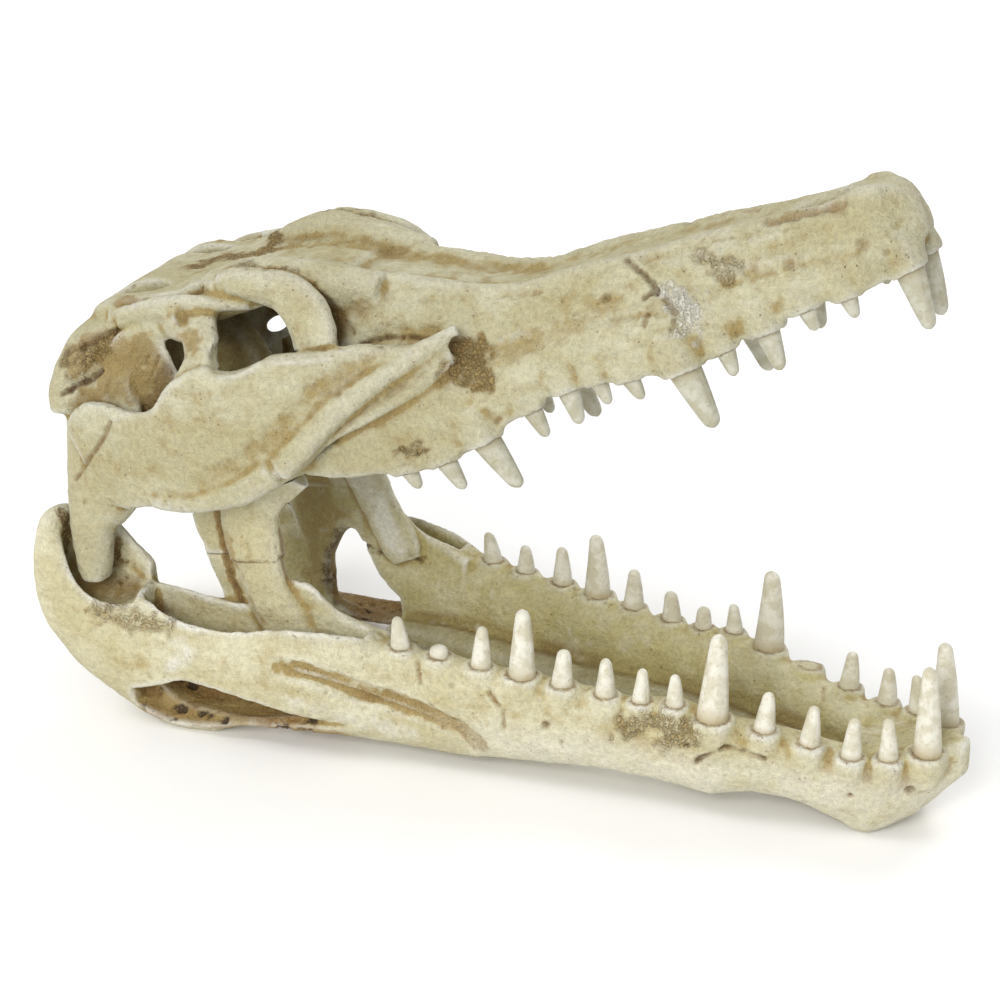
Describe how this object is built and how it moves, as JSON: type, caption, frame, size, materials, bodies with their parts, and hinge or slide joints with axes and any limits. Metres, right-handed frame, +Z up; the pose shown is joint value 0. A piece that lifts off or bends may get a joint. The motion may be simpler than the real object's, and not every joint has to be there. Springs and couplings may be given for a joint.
{
  "type": "crocodile skull",
  "caption": "Crocodile skull with a long toothed snout and its jaws held open, lying on its lower jaw.",
  "frame": {"origin": "centre of the footprint on the floor: the middle of the box in X and Y, and z = 0 under the lower jaw", "axes": "+X along the skull from the jaw joint to the snout, +Y to the skull's left side, +Z up"},
  "size_m": [0.471, 0.1864, 0.3197],
  "materials": {
    "premaxilla": "dry cream bone, satin-matt, light ochre in pits; ivory teeth",
    "skull_roof": "dry bone, matt, stronger brown wash in the recesses",
    "braincase": "dry bone, matt, brown wash all over, seen only through the eye sockets and from below",
    "preorbital": "dry bone, matt, brown wash inside the eye sockets",
    "maxilla": "dry cream bone, satin-matt, ochre wash along cracks and the tooth margin; ivory teeth",
    "jugal": "smooth cream bone with a paler worn lower rim",
    "quadrate": "dry bone, matt, brown wash round the joint",
    "pterygoid_flange": "thin olive-brown bone, matt",
    "dentary": "dry cream bone, satin-matt, ochre collars round ivory teeth",
    "jaw_angle": "dry cream bone, matt, brown and rust stain round the windows"
  },
  "bodies": {
    "root": {"premaxilla": "premaxilla", "skull_roof": "skull_roof", "braincase": "braincase", "preorbital": "preorbital", "maxilla_right": "maxilla", "maxilla_left": "maxilla", "jugal_right": "jugal", "jugal_left": "jugal", "quadrate_right": "quadrate", "quadrate_left": "quadrate", "pterygoid_flange_right": "pterygoid_flange", "pterygoid_flange_left": "pterygoid_flange", "dentary_right": "dentary", "dentary_left": "dentary", "jaw_angle_right": "jaw_angle", "jaw_angle_left": "jaw_angle"}
  },
  "joints": []
}
